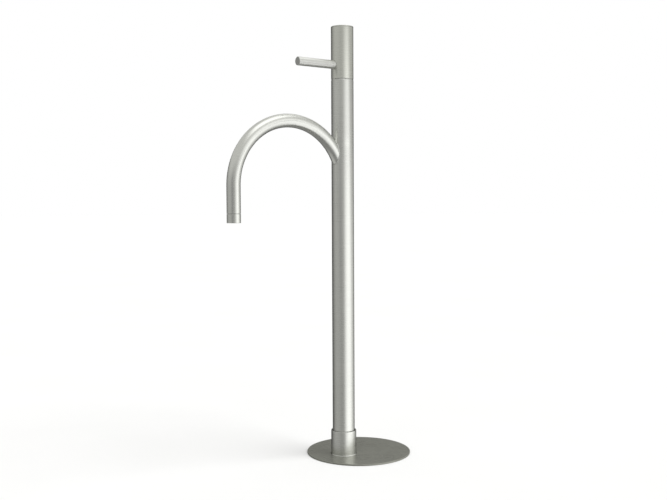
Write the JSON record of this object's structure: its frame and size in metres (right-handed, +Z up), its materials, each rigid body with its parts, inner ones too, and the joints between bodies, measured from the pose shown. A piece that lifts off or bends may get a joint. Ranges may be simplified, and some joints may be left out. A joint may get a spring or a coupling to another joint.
{
  "type": "garden standpipe",
  "caption": "Free-standing steel outdoor tap: round column on an off-centre base plate, arched spout with aerator, and a turning head with a lever that works a ceramic valve.",
  "frame": {"origin": "on the column's axis, at ground level under the base plate", "axes": "+X along the spout, +Z up along the column, +Y to the left of someone who looks along the spout"},
  "size_m": [0.3865, 0.2, 0.818],
  "materials": {
    "satin_steel": "satin stainless steel, brushed round the tubes",
    "lever_steel": "satin stainless steel, brushed along the rod's turning",
    "plate_steel": "satin stainless steel sheet, fine straight grain",
    "pipe_steel": "plain turned or drawn stainless steel",
    "screw_steel": "plain stainless steel",
    "turned_brass": "turned",
    "black_rubber": "matt",
    "white_ceramic": "lapped",
    "white_polymer": "matt",
    "grey_polymer": "matt, moulded"
  },
  "bodies": {
    "standpipe": {"base_plate": "plate_steel", "base_socket": "satin_steel", "socket_grub_screws": "screw_steel", "column_tube": "satin_steel", "inlet_plug": "turned_brass", "inlet_plug_o_rings": "black_rubber", "riser_pipe": "pipe_steel", "riser_o_rings": "black_rubber", "valve_body": "turned_brass", "valve_body_o_rings": "black_rubber", "body_set_screw": "screw_steel", "cartridge_housing": "turned_brass", "cartridge_o_ring": "black_rubber", "seat_seal": "black_rubber", "fixed_disc": "white_ceramic", "thrust_washer": "white_polymer", "cartridge_nut": "turned_brass", "glide_ring": "white_polymer", "spout_tube": "satin_steel", "spout_nipple": "pipe_steel", "aerator_housing": "satin_steel", "aerator_washer": "black_rubber", "aerator_insert": "grey_polymer"},
    "handle": {"cartridge_spindle": "turned_brass", "spindle_o_rings": "black_rubber", "spindle_circlip": "screw_steel", "rotating_disc": "white_ceramic", "handle_hub": "pipe_steel", "handle_grub_screw": "screw_steel", "handle_sleeve": "satin_steel", "handle_lid": "satin_steel", "lever_rod": "lever_steel", "lever_stud": "screw_steel"}
  },
  "joints": [
    {"name": "handle_turn", "type": "hinge", "parent": "standpipe", "child": "handle", "pos_m": [0, 0, 0.72], "axis": [0, 0, 1], "range_deg": [0, 90]}
  ]
}
